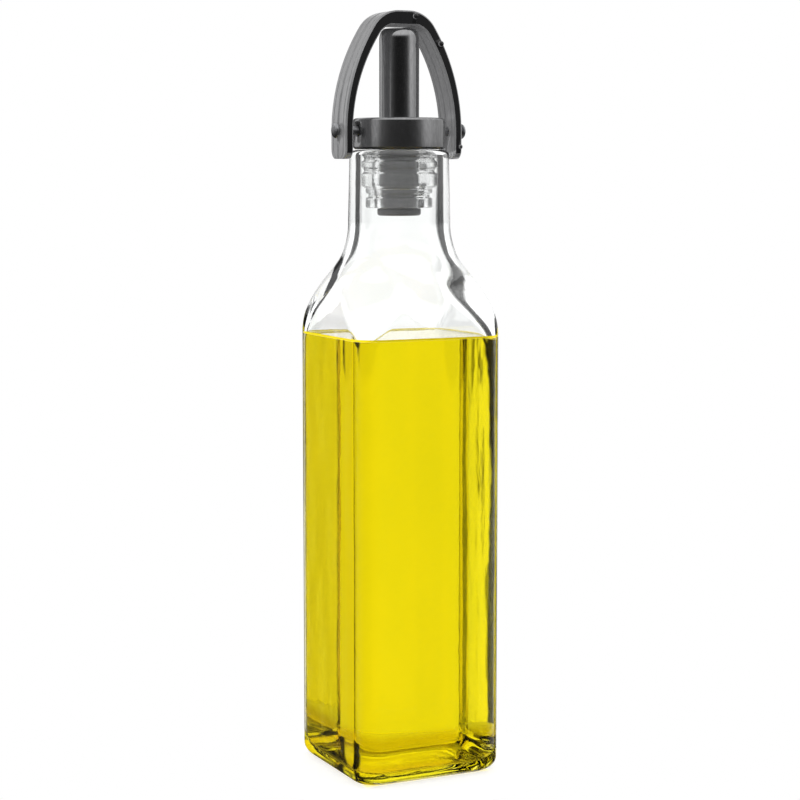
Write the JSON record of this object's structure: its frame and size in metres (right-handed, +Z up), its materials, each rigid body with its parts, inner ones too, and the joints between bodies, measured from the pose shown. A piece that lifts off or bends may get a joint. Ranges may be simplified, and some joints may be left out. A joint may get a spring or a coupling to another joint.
{
  "type": "glass oil dispenser bottle",
  "caption": "Square clear glass bottle full of yellow oil, with a round neck, a pouring tube stopper and an arched bail strap that hinges over it.",
  "frame": {"origin": "middle of the base, on the surface the bottle stands on", "axes": "+Z up along the bottle, the flat faces square to X and Y, and the bail's hinge axis along X"},
  "size_m": [0.0504, 0.0504, 0.2411],
  "materials": {
    "clear_glass": "clear, fire-polished",
    "yellow_oil": "clear yellow liquid",
    "dark_grey_plastic": "satin with a metallic look",
    "clear_seal": "clear, soft",
    "grey_strap_plastic": "satin",
    "pin_steel": "bright"
  },
  "bodies": {
    "bottle_body": {"bottle": "clear_glass", "oil": "yellow_oil", "collar": "dark_grey_plastic", "spout": "dark_grey_plastic", "seal_sleeve": "clear_seal", "pivot_pin_left": "pin_steel", "pivot_pin_right": "pin_steel"},
    "bail_body": {"bail": "grey_strap_plastic"}
  },
  "joints": [
    {"name": "bail_hinge", "type": "hinge", "parent": "bottle_body", "child": "bail_body", "pos_m": [0, 0, 0.2039], "axis": [1, 0, 0], "range_deg": [-105, 105]}
  ]
}
